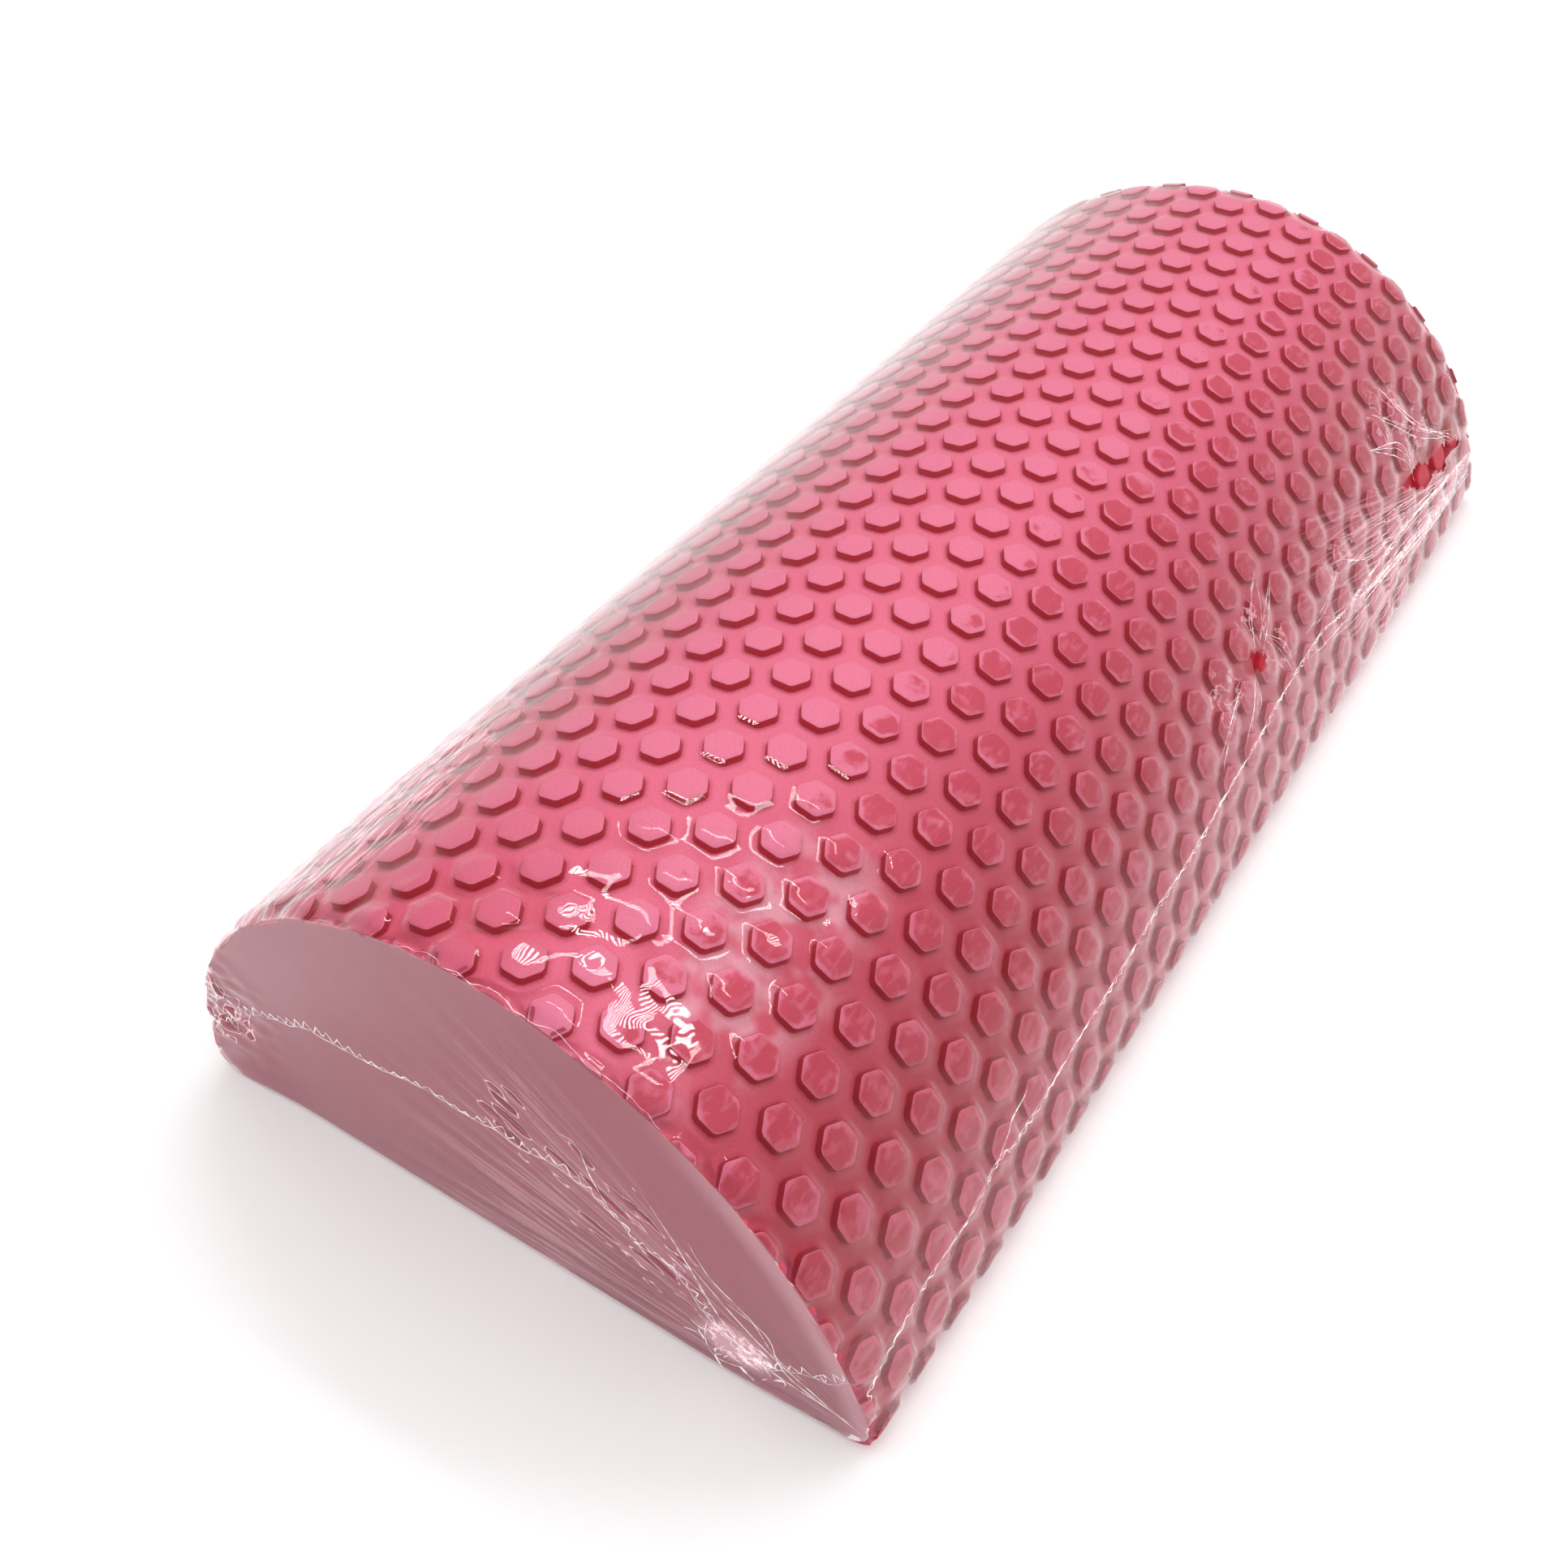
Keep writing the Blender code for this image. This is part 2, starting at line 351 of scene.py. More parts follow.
def pad_depth(x, y):
    """How far inside the nearest pad's outline a point of the sheet is."""
    u, v = turned(x - PATTERN_ROUND, y - PATTERN_ALONG, -PATTERN_TURN)
    best = -1.0
    middle = round(u / COLUMN_STEP)
    for column in (middle - 1, middle, middle + 1):
        half = (column % 2) / 2
        step = round(v / PAD_STEP - half)
        du = abs(u - column * COLUMN_STEP)
        dv = abs(v - (step + half) * PAD_STEP)
        slant = du * math.cos(math.pi / 6) + dv * math.sin(math.pi / 6)
        best = max(best, PAD_FLATS / 2 - max(dv, slant))
    return best


def hex_ring(apothem, corner_cut):
    """A hexagon's ring of points, three a side, its corners drawn in a little."""
    radius = apothem / math.cos(math.pi / CORNERS)
    points = []
    for n in range(CORNERS):
        here = Vector(turned(radius, 0, math.tau * n / CORNERS))
        after = Vector(turned(radius, 0, math.tau * (n + 1) / CORNERS))
        points.append(here * (1 - corner_cut / radius))
        points.append(here.lerp(after, 0.13))
        points.append(here.lerp(after, 0.87))
    return [turned(p.x, p.y, PATTERN_TURN) for p in points]


def cell_ring():
    """The honeycomb cell round a pad, in as many points."""
    third = COLUMN_STEP / 3
    half = PAD_STEP / 2
    corners = [
        (2 * third, 0),
        (third, half),
        (-third, half),
        (-2 * third, 0),
        (-third, -half),
        (third, -half),
    ]
    points = []
    for n in range(CORNERS):
        here = Vector(corners[n])
        after = Vector(corners[(n + 1) % CORNERS])
        points += [here, here.lerp(after, 1 / 3), here.lerp(after, 2 / 3)]
    return [turned(p.x, p.y, PATTERN_TURN) for p in points]


# A pad from its foot to the middle of its top: how far out from its outline
# each ring is, how far under its top, and how much its corners are cut.
PAD_PROFILE = (
    (0.50 * MM, PAD_HEIGHT, 0.30 * MM),
    (0.16 * MM, PAD_HEIGHT - 0.16 * MM, 0.25 * MM),
    (0.02 * MM, 0.26 * MM, 0.20 * MM),
    (-0.08 * MM, 0.06 * MM, 0.20 * MM),
    (-0.30 * MM, 0.0, 0.16 * MM),
    (-0.95 * MM, 0.0, 0.10 * MM),
)


def add_pad(bm, x, y, floor_vertex, cell, rings, away):
    previous = [floor_vertex(x + dx, y + dy) for dx, dy in cell]
    for (out, under, _), ring in zip(PAD_PROFILE, rings):
        current = [bm.verts.new((x + dx, y + dy, FOAM_RADIUS - under)) for dx, dy in ring]
        for vert in current:
            vert[away] = out
        for n, vert in enumerate(previous):
            after = (n + 1) % len(previous)
            bm.faces.new((vert, previous[after], current[after], current[n]))
        previous = current
    middle = bm.verts.new((x, y, FOAM_RADIUS))
    middle[away] = -PAD_FLATS / 2
    for n, vert in enumerate(previous):
        bm.faces.new((vert, previous[(n + 1) % len(previous)], middle))


def trim(bm, place, outward):
    cut = bmesh.ops.bisect_plane(
        bm,
        geom=bm.verts[:] + bm.edges[:] + bm.faces[:],
        dist=0.001 * MM,
        plane_co=place,
        plane_no=outward,
        clear_outer=True,
    )
    return [item for item in cut["geom_cut"] if isinstance(item, bmesh.types.BMEdge)]


def padded_sheet(half_width):
    bm = bmesh.new()
    away = bm.verts.layers.float.new("away")
    shared = {}

    def floor_vertex(x, y):
        key = (round(x / MM, 2), round(y / MM, 2))
        if key not in shared:
            shared[key] = bm.verts.new((x, y, FOAM_RADIUS - PAD_HEIGHT))
            shared[key][away] = CELL_AWAY
        return shared[key]

    cell = cell_ring()
    rings = [hex_ring(PAD_FLATS / 2 + out, cut) for out, _, cut in PAD_PROFILE]
    columns = math.ceil(half_width / COLUMN_STEP) + 2
    steps = math.ceil(HALF_LENGTH / PAD_STEP) + 2
    for column in range(-columns, columns + 1):
        for step in range(-steps, steps + 1):
            add_pad(bm, *pad_centre(column, step), floor_vertex, cell, rings, away)
    for side in (-1, 1):
        trim(bm, (side * half_width, 0, 0), (side, 0, 0))
        trim(bm, (0, side * HALF_LENGTH, 0), (0, side, 0))
    return bm


def sheet_edge(bm, axis, value):
    found = [
        vert
        for vert in bm.verts
        if vert.is_boundary and abs(vert.co[axis] - value) < 0.01 * MM
    ]
    return sorted(found, key=lambda vert: vert.co[1 - axis])


def across_section(angle):
    return Vector((math.cos(angle), 0, math.sin(angle)))


def saw(bm, angle, distance):
    outward = across_section(angle)
    place = outward * distance + Vector((0, 0, AXIS_HEIGHT))
    bmesh.ops.holes_fill(bm, edges=trim(bm, place, outward), sides=0)


def add_end(bm, rim, axis):
    """An end of the block, in rings from its rim in to the axis."""
    middle = bm.verts.new(axis)
    previous = rim
    for n in range(1, END_RINGS):
        current = [bm.verts.new(vert.co.lerp(axis, n / END_RINGS)) for vert in rim]
        for k in range(len(rim) - 1):
            bm.faces.new((previous[k], previous[k + 1], current[k + 1], current[k]))
        previous = current
    for first, second in zip(previous, previous[1:]):
        bm.faces.new((first, second, middle))


def foam_piece():
    half_width = SHEET_HALF_TURN * FOAM_RADIUS
    bm = padded_sheet(half_width)
    depth = bm.verts.layers.float.new("depth")
    sheet = bm.verts.layers.float_vector.new("sheet")
    sawn = bm.faces.layers.float.new("sawn")
    front, back = (sheet_edge(bm, 1, side * HALF_LENGTH) for side in (-1, 1))
    for vert in bm.verts:
        round_curve, along, radius = vert.co
        vert[depth] = FOAM_RADIUS - radius
        vert[sheet] = (round_curve, along, 0)
        share = rim_share(along)
        radius = FOAM_RADIUS - (FOAM_RADIUS - radius) * (1 - RIM_FLATTEN * share)
        radius -= RIM_SQUEEZE * share
        bent = across_section(math.pi / 2 - round_curve / FOAM_RADIUS) * radius
        vert.co = bent + Vector((0, along, AXIS_HEIGHT))
    for rim, side in ((front, -1), (back, 1)):
        add_end(bm, rim, Vector((0, side * HALF_LENGTH, AXIS_HEIGHT)))
    bmesh.ops.recalc_face_normals(bm, faces=bm.faces[:])
    saw(bm, -math.pi / 2, -BASE_ABOVE_AXIS)
    for facet in range(EDGE_FACETS):
        angle = -math.pi / 2 + EDGE_TURN * (facet + 0.5) / EDGE_FACETS
        centre = Vector((EDGE_X, 0, EDGE_UP))
        distance = centre.dot(across_section(angle)) + FOAM_EDGE_ROUND
        saw(bm, angle, distance)
        saw(bm, math.pi - angle, distance)
    bmesh.ops.recalc_face_normals(bm, faces=bm.faces[:])
    for face in bm.faces:
        on_end = all(abs(vert.co.y) > HALF_LENGTH - 0.01 * MM for vert in face.verts)
        face[sawn] = float(on_end or len(face.verts) > 4)
    bmesh.ops.triangulate(bm, faces=[face for face in bm.faces if len(face.verts) > 4])
    settle_mesh(bm)
    mesh = bpy.data.meshes.new("foam_block")
    bm.to_mesh(mesh)
    bm.free()
    mesh.shade_smooth()
    mesh.set_sharp_from_angle(angle=math.radians(50))
    return link(bpy.data.objects.new("foam_block", mesh))


def ripple(x, y, size, seed):
    """Smooth noise about 0, with bumps of this size."""
    return noise.noise(Vector((x / size, y / size, seed)))


def crease(x, y, size, seed):
    """Noise with sharp ridges, from 0 to 1."""
    return 1 - min(1.0, 3 * abs(ripple(x, y, size, seed)))


def on_sheet(turn, along):
    """Round the curve and along, from degrees and mm."""
    return math.radians(turn) * FOAM_RADIUS, along * MM


def distance_to_line(point, line):
    best = math.inf
    here = Vector(point)
    for start, end in zip(line, line[1:]):
        start, end = Vector(start), Vector(end)
        run = end - start
        share = min(1.0, max(0.0, (here - start).dot(run) / run.dot(run)))
        best = min(best, (here - start - run * share).length)
    return best


def inside(point, ring):
    x, y = point
    odd = False
    for (x0, y0), (x1, y1) in zip(ring, ring[1:] + ring[:1]):
        if (y0 > y) != (y1 > y) and x < x0 + (x1 - x0) * (y - y0) / (y1 - y0):
            odd = not odd
    return odd


OPENINGS = [[on_sheet(*corner) for corner in ring] for ring in (TEAR, VENT)]
WELD_LINE = [on_sheet(*place) for place in SIDE_WELD]


def rim_share(along):
    """0 along the roller and 1 at the rim of each end, where the film squeezes the foam."""
    return smooth(abs(along), HALF_LENGTH - RIM_REACH, HALF_LENGTH) ** 2


def looseness(round_curve, along):
    """Where the film hangs free: a band back from the front rim that narrows to the right."""
    share = smooth(along, -HALF_LENGTH, LOOSE_BACK)
    middle = (10 + 28 * share) * MM
    half = (26 - 19 * share) * MM
    across = 1 - smooth(abs(round_curve - middle), half, half + 9 * MM)
    return across * smooth(-along, 78 * MM, 92 * MM)


def side_lift(round_curve, along):
    """How far the film over the curved side stands off the tops of the pads."""
    loose = looseness(round_curve, along)
    depth = pad_depth(round_curve, along)
    near_end = smooth(abs(along), HALF_LENGTH - 7 * MM, HALF_LENGTH)
    sag = FILM_SAG + SIDE_SAG * smooth(round_curve, 45 * MM, 75 * MM)
    lift = -sag * (1 - loose) * smooth(-depth, -0.2 * MM, 1.2 * MM)
    lift -= RIM_SAG * near_end * smooth(-depth, 0.0, 1.6 * MM)
    lift += 0.03 * MM * ripple(round_curve, along, 8 * MM, 1.5)
    if loose > 0:
        slack = 0.1 + 0.9 * smooth(ripple(round_curve, along, 13 * MM, 6.6), -0.2, 0.25)
        lift += loose * (LOOSE_LIFT - LOOSE_SAG * slack * smooth(-depth, -1.9 * MM, 1.5 * MM))
        lift += 0.40 * MM * loose * ripple(round_curve, along, 13 * MM, 4.2)
        lift += 0.15 * MM * loose * ripple(round_curve, along, 8 * MM, 2.9)
        lift += 0.06 * MM * loose * ripple(round_curve, along, 4.0 * MM, 9.1)
    left = smooth(-round_curve, 25 * MM, 62 * MM) * smooth(-along, 20 * MM, 110 * MM)
    if left > 0:
        lift += 0.5 * MM * left * crease(round_curve * 4, along, 18 * MM, 2.7)
    right = smooth(round_curve, 62 * MM, 80 * MM)
    if right > 0:
        lift += 0.25 * MM * right * crease(round_curve * 3, along, 9 * MM, 6.1)
        weld = distance_to_line((round_curve, along), WELD_LINE)
        lift += 0.20 * MM * math.exp(-((weld / (1.5 * MM)) ** 2))
    if round_curve > 60 * MM and along > 0:
        fold_angle = math.atan2(round_curve - 95 * MM, 150 * MM - along)
        fold = noise.noise(Vector((fold_angle * 22, along / (60 * MM), 3.3)))
        lift += 0.40 * MM * smooth(along, 40 * MM, 110 * MM) * abs(fold)
    near_tear = min(distance_to_line((round_curve, along), r + r[:1]) for r in OPENINGS) if (
        round_curve > 65 * MM and along > 10 * MM
    ) else 1.0
    lift += 0.5 * MM * math.exp(-((near_tear / (1.2 * MM)) ** 2))
    deepest = -0.9 * PAD_HEIGHT * smooth(-depth, 0.1 * MM, 1.3 * MM)
    return max(lift, deepest) + FILM_LIFT - RIM_SQUEEZE * rim_share(along)


def end_lift(x, up):
    """How far the film over the front end stands off it."""
    lift = 0.05 * MM * ripple(x, up, 9 * MM, 5.5)
    reach = math.hypot(x - LOW_CORNER[0] * MM, up - LOW_CORNER[1] * MM)
    angle = math.atan2(up - LOW_CORNER[1] * MM, LOW_CORNER[0] * MM - x)
    span = smooth(angle, -0.1, 0.02) * (1 - smooth(angle, 0.7, 0.95))
    fan = noise.noise(Vector((angle * 16, reach / (70 * MM), 1.1)))
    lift += 0.14 * MM * span * abs(fan) * (1 - smooth(reach, 70 * MM, 120 * MM))
    left = 1 - smooth(math.hypot(x + 68 * MM, up - 22 * MM), 6 * MM, 22 * MM)
    lift += 0.6 * MM * left * crease(x, up, 4 * MM, 7.7)
    return lift


def film_piece():
    steps = outline_steps()
    middle = Vector((0, BASE_ABOVE_AXIS + 0.4 * FOAM_RADIUS))
    bm = bmesh.new()
    sheet = bm.verts.layers.float_vector.new("sheet")
    end_mark = bm.verts.layers.float.new("end")

    def side_ring(along):
        verts = []
        for length in steps:
            round_curve = CREST_LENGTH - length
            flat = length < EDGE_X or length > OUTLINE_LENGTH - EDGE_X
            lift = FILM_LIFT if flat else side_lift(round_curve, along)
            x, up = outline(length, lift)
            vert = bm.verts.new((x, along, up + AXIS_HEIGHT))
            vert[sheet] = (round_curve, along, 0)
            verts.append(vert)
        return verts

    def end_ring(side, share):
        verts = []
        for length in steps:
            point = middle.lerp(Vector(outline(length, FILM_LIFT)), share)
            height = point.y + AXIS_HEIGHT
            lift = END_LIFT + (end_lift(point.x, height) if side < 0 else 0)
            vert = bm.verts.new((point.x, side * (HALF_LENGTH + lift), height))
            vert[sheet] = (CREST_LENGTH - length, side * HALF_LENGTH, 0)
            vert[end_mark] = 1.0
            verts.append(vert)
        return verts

    rings = [end_ring(1, 0.995 * (n + 0.5) / BACK_RINGS) for n in range(BACK_RINGS)]
    rings += [side_ring(along) for along in reversed(film_rows())]
    rings += [end_ring(-1, 0.995 * (n + 0.5) / FRONT_RINGS) for n in range(FRONT_RINGS - 1, -1, -1)]
    for first, second in zip(rings, rings[1:]):
        for n, vert in enumerate(first):
            after = (n + 1) % len(first)
            bm.faces.new((vert, second[n], second[after], first[after]))
    bm.faces.new(rings[0])
    bm.faces.new(rings[-1][::-1])
    bmesh.ops.recalc_face_normals(bm, faces=bm.faces[:])
    torn = []
    for face in bm.faces:
        corners = [vert[sheet] for vert in face.verts]
        if len(corners) > 4 or face.verts[0][end_mark]:
            continue
        centre = sum((Vector(corner) for corner in corners), Vector()) / len(corners)
        if any(inside(centre[:2], ring) for ring in OPENINGS):
            torn.append(face)
    bmesh.ops.delete(bm, geom=torn, context="FACES")
    settle_mesh(bm)
    mesh = bpy.data.meshes.new("film_skin")
    bm.to_mesh(mesh)
    bm.free()
    mesh.shade_smooth()
    mesh.set_sharp_from_angle(angle=math.radians(55))
    return link(bpy.data.objects.new("film_skin", mesh))


# Welds, folds and knots: thin white tapered lines on the film.
def side_spot(turn, along, lift):
    angle = math.radians(turn)
    normal = Vector((math.sin(angle), 0, math.cos(angle)))
    reach = FOAM_RADIUS + FILM_LIFT + lift - RIM_SQUEEZE * rim_share(along * MM)
    place = normal * reach + Vector((0, along * MM, AXIS_HEIGHT))
    return place, normal


def front_spot(x, height, lift):
    place = Vector((x * MM, -HALF_LENGTH - END_LIFT - lift, height * MM))
    return place, Vector((0, -1, 0))


def back_spot(x, height, lift):
    place = Vector((x * MM, HALF_LENGTH + END_LIFT + lift, height * MM))
    return place, Vector((0, 1, 0))


def smooth_line(points, step):
    """A curve through points, with a point about every step."""
    points = [Vector(point) for point in points]
    if len(points) == 2:
        points.insert(1, points[0].lerp(points[1], 0.5))
    padded = [2 * points[0] - points[1], *points, 2 * points[-1] - points[-2]]
    line = []
    for before, start, end, after in zip(padded, padded[1:], padded[2:], padded[3:]):
        count = max(1, round((end - start).length / step))
        for n in range(count):
            t = n / count
            line.append(
                0.5
                * (
                    2 * start
                    + (end - before) * t
                    + (2 * before - 5 * start + 4 * end - after) * t**2
                    + (3 * start - before - 3 * end + after) * t**3
                )
            )
    line.append(points[-1])
    return line


def add_line(bm, spots, widths, flatness):
    """A tapered bead along spots, each a place and the film's normal there."""
    rings = []
    for n, (place, normal) in enumerate(spots):
        before = spots[max(0, n - 1)][0]
        after = spots[min(len(spots) - 1, n + 1)][0]
        tangent = (after - before).normalized()
        sideways = tangent.cross(normal).normalized()
        ring = []
        for side in range(LINE_SIDES):
            angle = math.tau * side / LINE_SIDES
            offset = sideways * math.cos(angle) + normal * math.sin(angle) * flatness
            ring.append(bm.verts.new(settle(place + offset * widths[n] / 2)))
        rings.append(ring)
    for first, second in zip(rings, rings[1:]):
        for n in range(LINE_SIDES):
            after = (n + 1) % LINE_SIDES
            bm.faces.new((first[n], second[n], second[after], first[after]))
    bm.faces.new(rings[0])
    bm.faces.new(rings[-1][::-1])


def fold(bm, rng, spot, points, width, degrees=False, wander=0.25, step=0.7):
    """A white fold through points given in the surface's own terms."""
    scale = math.radians(1) * FOAM_RADIUS / MM if degrees else 1.0
    flat = [Vector((a * scale, b)) for a, b in points]
    line = smooth_line(flat, step)
    seed = rng.uniform(0, 99)
    spots, widths = [], []
    for n, point in enumerate(line):
        share = n / (len(line) - 1)
        shift = wander * noise.noise_vector(Vector((point.x / 2.5, point.y / 2.5, seed)))
        ragged = 1 + 0.6 * noise.noise(Vector((point.x, point.y, seed + 5)))
        spots.append(spot((point.x + shift.x) / scale, point.y + shift.y, 0.1 * MM))
        widths.append(width * MM * ragged * (0.15 + 0.85 * math.sin(math.pi * share) ** 0.5))
    add_line(bm, spots, widths, 0.6)


def ruffle(bm, rng, spot, points, degrees, reach, step=0.3):
    """The weld's frill: a thin line in scallops that rise from the weld."""
    scale = math.radians(1) * FOAM_RADIUS / MM if degrees else 1.0
    line = smooth_line([Vector((a * scale, b)) for a, b in points], step)
    seed = rng.uniform(0, 99)
    spots, widths = [], []
    phase = 0.0
    for before, point in zip(line, line[1:]):
        run = (point - before).normalized()
        up = Vector((-run.y, run.x))
        if degrees:
            up = -up
        phase += 0.36 + 0.2 * noise.noise(Vector((len(spots) * 0.15, seed, 0)))
        patch = 0.4 + 0.6 * smooth(noise.noise(Vector((point.x / 11, point.y / 11, seed))), -0.3, 0.2)
        height = reach * patch * abs(math.sin(phase)) ** 0.8
        outer = point + up * height + run * 0.35 * math.sin(2 * phase)
        spots.append(spot(outer.x / scale, outer.y, 0.12 * MM))
        widths.append(0.24 * MM * (1 + 0.6 * noise.noise(Vector((point.x, point.y, seed)))))
    add_line(bm, spots, widths, 0.6)


def knot(bm, rng, spot, centre, reach, count, lift):
    """A crumpled gather: short bent folds heaped over a small area."""
    for _ in range(count):
        angle = rng.uniform(0, math.tau)
        share = rng.uniform(0, 1) ** 0.7
        a = centre[0] + reach[0] * share * math.cos(angle)
        b = centre[1] + reach[1] * share * math.sin(angle)
        way = rng.uniform(0, math.tau)
        size = rng.uniform(1.2, 3.6)
        bend = rng.uniform(-0.7, 0.7) * size
        points = (
            (a, b),
            (a + size / 2 * math.cos(way) - bend * math.sin(way) / 2, b + size / 2 * math.sin(way)),
            (a + size * math.cos(way), b + size * math.sin(way) + bend / 3),
        )
        raised = rng.uniform(0, lift)

        def raised_spot(x, y, up):
            return spot(x, y, up + raised * MM)

        fold(bm, rng, raised_spot, points, rng.uniform(0.16, 0.42), wander=0.5, step=0.5)


def new_piece(name, bm, material):
    mesh = bpy.data.meshes.new(name)
    bm.to_mesh(mesh)
    bm.free()
    mesh.shade_smooth()
    mesh.materials.append(material)
    return link(bpy.data.objects.new(name, mesh))


def weld_piece(material):
    rng = random.Random(7)
    bm = bmesh.new()
    fold(bm, rng, side_spot, SIDE_WELD, 0.26, degrees=True, wander=0.45)
    fold(bm, rng, side_spot, WELD_FORK, 0.3, degrees=True)
    fold(bm, rng, front_spot, FRONT_WELD, 0.17, wander=0.45)
    fold(bm, rng, back_spot, ((-71, 13), (-30, 29), (10, 32), (50, 24), (70, 18)), 0.4)
    ruffle(bm, rng, front_spot, FRONT_WELD, False, 2.2)
    ruffle(bm, rng, side_spot, SIDE_WELD, True, 0.8)
    return new_piece("film_weld", bm, material)


def folds_piece(material):
    rng = random.Random(11)
    bm = bmesh.new()
    for points in FRONT_FOLDS:
        fold(bm, rng, front_spot, points, rng.uniform(0.14, 0.24), wander=0.1)
    for bundle, width in ((SIDE_FOLDS, 0.28), (VENT_FOLDS, 0.15)):
        for points in bundle:
            for strand in range(3):
                shift = 1.6 * min(strand, 1)
                shifted = [
                    (t + rng.uniform(-shift, shift), y + rng.uniform(-2 * shift, 2 * shift))
                    for t, y in points
                ]
                shifted[0] = points[0]
                fold(bm, rng, side_spot, shifted, rng.uniform(0.45, 1) * width, degrees=True)
    # White line along the front rim: painted highlight.
    fold(bm, rng, side_spot, RIM_HIGHLIGHT_LINE, 0.13, degrees=True, wander=0.6)
    knot(bm, rng, front_spot, FRONT_KNOT, FRONT_KNOT_REACH, 26, 0.8)
    knot(bm, rng, front_spot, LEFT_KNOT, LEFT_KNOT_REACH, 26, 1.0)
    return new_piece("film_folds", bm, material)


# Materials.
class Tree:
    """A material's node tree, with short calls to add to it."""

    def __init__(self, name):
        self.material = bpy.data.materials.new(name)
        self.material.use_nodes = True
        self.nodes = self.material.node_tree.nodes
        self.links = self.material.node_tree.links
        self.nodes.clear()

    def add(self, kind, **inputs):
        node = self.nodes.new(kind)
        for key, value in inputs.items():
            self.feed(node.inputs[key.replace("_", " ")], value)
        return node

    def feed(self, socket, value):
        if isinstance(value, bpy.types.NodeSocket):
            self.links.new(value, socket)
        elif isinstance(value, bpy.types.Node):
            self.links.new(value.outputs[0], socket)
        else:
            socket.default_value = value

    def attribute(self, name, output="Fac"):
        node = self.nodes.new("ShaderNodeAttribute")
        node.attribute_name = name
        return node.outputs[output]

    def math(self, operation, *values):
        node = self.nodes.new("ShaderNodeMath")
        node.operation = operation
        for socket, value in zip(node.inputs, values):
            self.feed(socket, value)
        return node.outputs[0]

    def product(self, *values):
        result = values[0]
        for value in values[1:]:
            result = self.math("MULTIPLY", result, value)
        return result

    def mix(self, factor, first, second, blend="MIX"):
        node = self.nodes.new("ShaderNodeMix")
        node.data_type = "RGBA"
        node.blend_type = blend
        self.feed(node.inputs["Factor"], factor)
        self.feed(node.inputs[6], first)
        self.feed(node.inputs[7], second)
        return node.outputs[2]

    def between(self, value, low, high, to_low=0.0, to_high=1.0):
        node = self.nodes.new("ShaderNodeMapRange")
        node.interpolation_type = "SMOOTHSTEP"
        for socket, given in zip(node.inputs, (value, low, high, to_low, to_high)):
            self.feed(socket, given)
        return node.outputs[0]

    def line(self, value, low, high, to_low, to_high):
        """An even rise, which goes on past both ends."""
        node = self.nodes.new("ShaderNodeMapRange")
        node.clamp = False
        for socket, given in zip(node.inputs, (value, low, high, to_low, to_high)):
            self.feed(socket, given)
        return node.outputs[0]

    def noise(self, place, size, detail=2.0, roughness=0.5):
        node = self.add(
            "ShaderNodeTexNoise",
            Vector=place,
            Scale=1 / size,
            Detail=detail,
            Roughness=roughness,
        )
        return node.outputs["Fac"]

    def stretched(self, u, v, run_u, run_v):
        """A place for noise whose bumps are this long each way."""
        return self.add(
            "ShaderNodeCombineXYZ",
            X=self.math("DIVIDE", u, run_u),
            Y=self.math("DIVIDE", v, run_v),
        )

    def oval(self, u, v, middle, reach):
        """1 in the middle of an oval and 0 outside it."""
        du = self.math("DIVIDE", self.math("SUBTRACT", u, middle[0]), reach[0])
        dv = self.math("DIVIDE", self.math("SUBTRACT", v, middle[1]), reach[1])
        away = self.math("SQRT", self.math("ADD", self.product(du, du), self.product(dv, dv)))
        return self.between(away, 0.45, 1.0, 1.0, 0.0)

    def web(self, place, size, width):
        """Thin lines where noise crosses its middle."""
        level = self.math("SUBTRACT", self.noise(place, size, 3.0), 0.5)
        return self.between(self.math("ABSOLUTE", level), 0.0, width, 1.0, 0.0)

    def most(self, *values):
        result = values[0]
        for value in values[1:]:
            result = self.math("MAXIMUM", result, value)
        return result

    def cells(self, place, size):
        """Distance to the nearest of scattered points, in cells, with a wobble."""
        node = self.add("ShaderNodeTexVoronoi", Vector=place, Scale=1 / size)
        wobble = self.math("SUBTRACT", self.noise(place, 0.6 * size), 0.5)
        return self.math("ADD", node.outputs["Distance"], self.product(wobble, BLOT_WOBBLE))

    def fan(self, u, v, centre, spread, run):
        """A place for noise in streaks that meet at a point, with the angle and distance there."""
        du = self.math("SUBTRACT", centre[0], u)
        dv = self.math("SUBTRACT", v, centre[1])
        angle = self.math("ARCTAN2", dv, du)
        reach = self.math("SQRT", self.math("ADD", self.product(du, du), self.product(dv, dv)))
        place = self.add(
            "ShaderNodeCombineXYZ",
            X=self.math("MULTIPLY", angle, spread),
            Y=self.math("DIVIDE", reach, run),
        )
        return place, angle, reach

    def finish(self, shader):
        output = self.nodes.new("ShaderNodeOutputMaterial")
        self.links.new(shader, output.inputs["Surface"])
        return self.material


